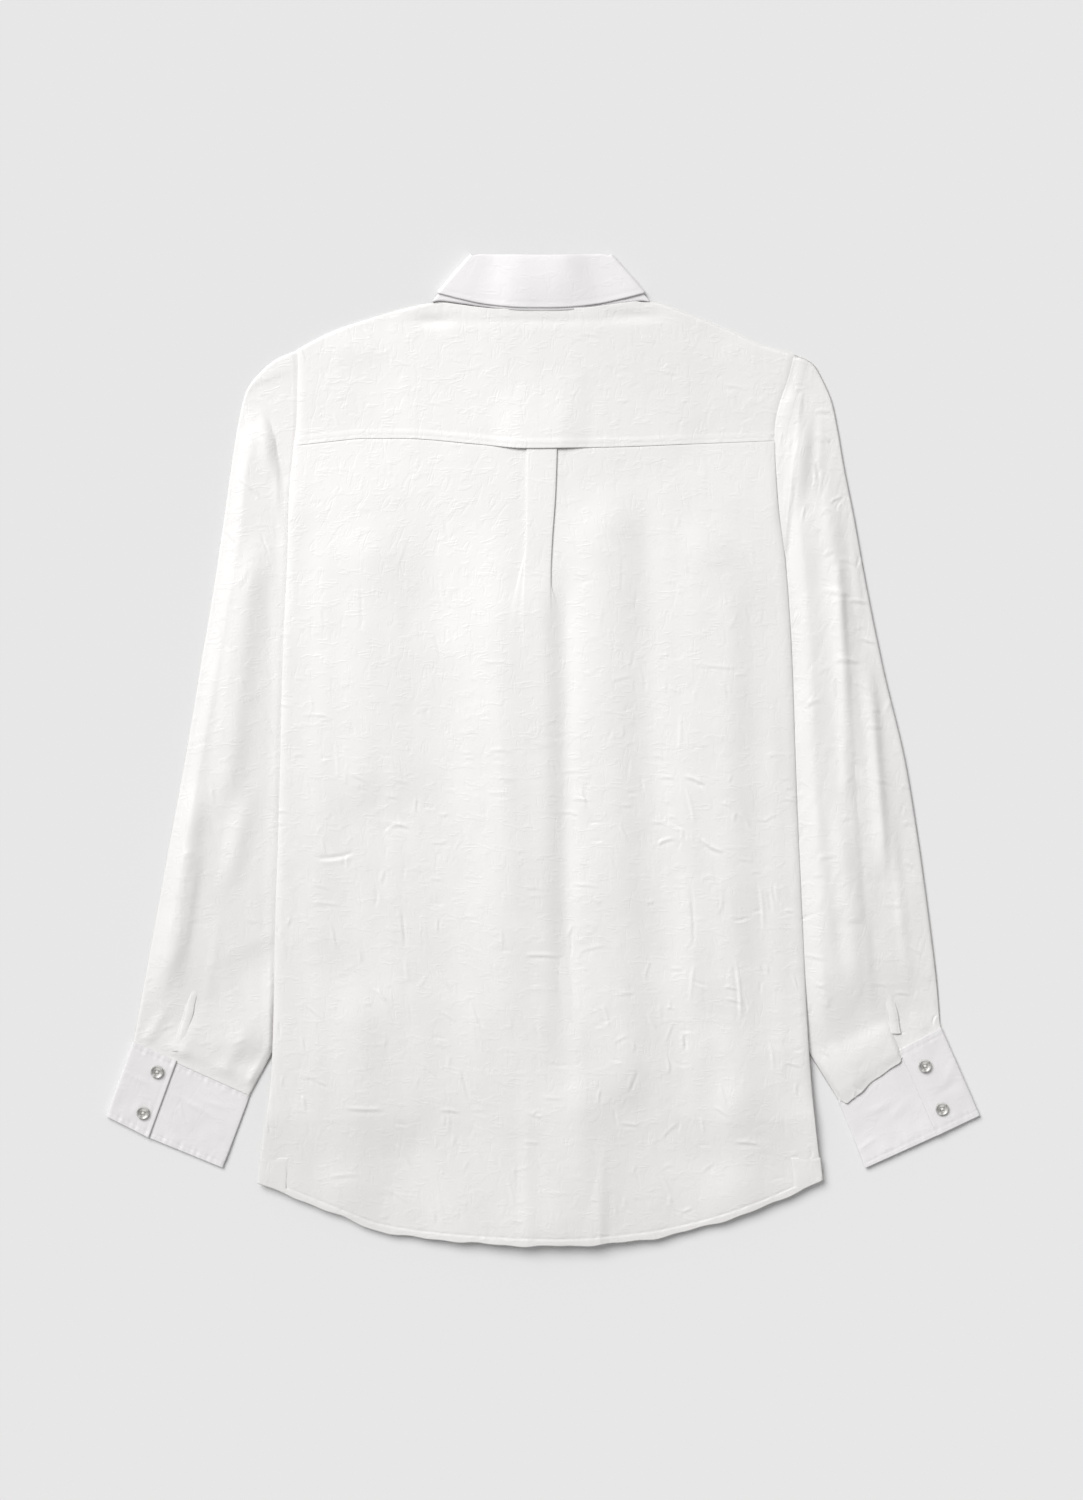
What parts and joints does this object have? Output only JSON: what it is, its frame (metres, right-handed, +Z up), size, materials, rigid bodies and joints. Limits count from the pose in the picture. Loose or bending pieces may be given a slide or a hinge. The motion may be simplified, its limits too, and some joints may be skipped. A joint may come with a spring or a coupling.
{
  "type": "long-sleeved crinkled satin shirt laid flat, back up",
  "caption": "Long-sleeved crinkled satin shirt lying flat on its front, back up, with collar, yoke, box pleat, buttoned cuffs and curved hem.",
  "frame": {"origin": "middle of the shirt's outline, on the surface that it lies on", "axes": "+Y from hem to collar, +X to the right seen with the back up, +Z up out of the surface"},
  "size_m": [0.7173, 0.813, 0.0107],
  "materials": {
    "satin": "crinkled satin, soft sheen",
    "satin_faced": "interfaced crinkled satin, flatter and slightly cooler",
    "button_pearl": "translucent grey pearl, polished"
  },
  "bodies": {
    "root": {"back": "satin", "collar_leaf": "satin_faced", "collar_stand": "satin_faced", "cuff_button_left_lower": "button_pearl", "cuff_button_left_upper": "button_pearl", "cuff_button_right_lower": "button_pearl", "cuff_button_right_upper": "button_pearl", "cuff_left": "satin_faced", "cuff_right": "satin_faced", "front_button_1": "button_pearl", "front_button_2": "button_pearl", "front_button_3": "button_pearl", "front_button_4": "button_pearl", "front_button_5": "button_pearl", "front_button_6": "button_pearl", "front_button_7": "button_pearl", "front_left": "satin", "front_right": "satin", "side_gusset_left": "satin", "side_gusset_right": "satin", "sleeve_left": "satin", "sleeve_placket_left": "satin", "sleeve_placket_right": "satin", "sleeve_right": "satin", "yoke": "satin"}
  },
  "joints": []
}
